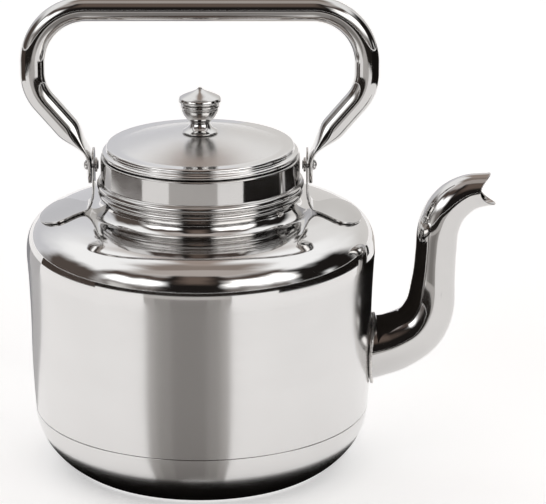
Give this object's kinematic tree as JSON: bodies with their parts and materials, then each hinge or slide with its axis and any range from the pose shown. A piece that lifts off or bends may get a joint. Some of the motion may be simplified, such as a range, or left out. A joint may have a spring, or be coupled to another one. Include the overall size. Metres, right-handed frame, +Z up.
{
  "type": "stovetop kettle",
  "caption": "Drum-bodied stainless steel stovetop kettle with swan-neck spout, beaded neck collar, lift-off lid and swinging bail handle.",
  "frame": {"origin": "centre of the flat underside of the base, on the surface the kettle stands on", "axes": "+Z up along the body's axis, +X towards the spout, +Y across the kettle, square to the plane of the handle"},
  "size_m": [0.3232, 0.239, 0.3287],
  "materials": {
    "satin_steel": "fine satin stainless steel, polished brighter on the shoulder",
    "mirror_steel": "mirror-polished stainless steel",
    "rivet_steel": "plain turned stainless steel",
    "weld_steel": "rippled, part-polished weld bead"
  },
  "bodies": {
    "kettle_body": {"base_pan": "satin_steel", "body_shell": "satin_steel", "neck_collar": "mirror_steel", "spout": "mirror_steel", "spout_weld_bead": "weld_steel", "handle_bracket_right": "mirror_steel", "handle_bracket_left": "mirror_steel", "handle_rivet_right": "rivet_steel", "handle_rivet_left": "rivet_steel", "rivet_burr_right": "rivet_steel", "rivet_burr_left": "rivet_steel"},
    "handle": {"handle_tube": "mirror_steel"},
    "lid": {"lid_shell": "mirror_steel", "lid_skirt": "mirror_steel", "knob_foot": "mirror_steel", "knob_bowl": "mirror_steel", "knob_cap": "mirror_steel", "knob_washer": "rivet_steel", "knob_screw": "rivet_steel"}
  },
  "joints": [
    {"name": "handle_swing", "type": "hinge", "parent": "kettle_body", "child": "handle", "pos_m": [0, 0, 0.2116], "axis": [1, 0, 0], "range_deg": [-100, 100]},
    {"name": "lid_lift", "type": "slide", "parent": "kettle_body", "child": "lid", "axis": [0, 0, 1], "range_m": [0, 0.04]}
  ]
}
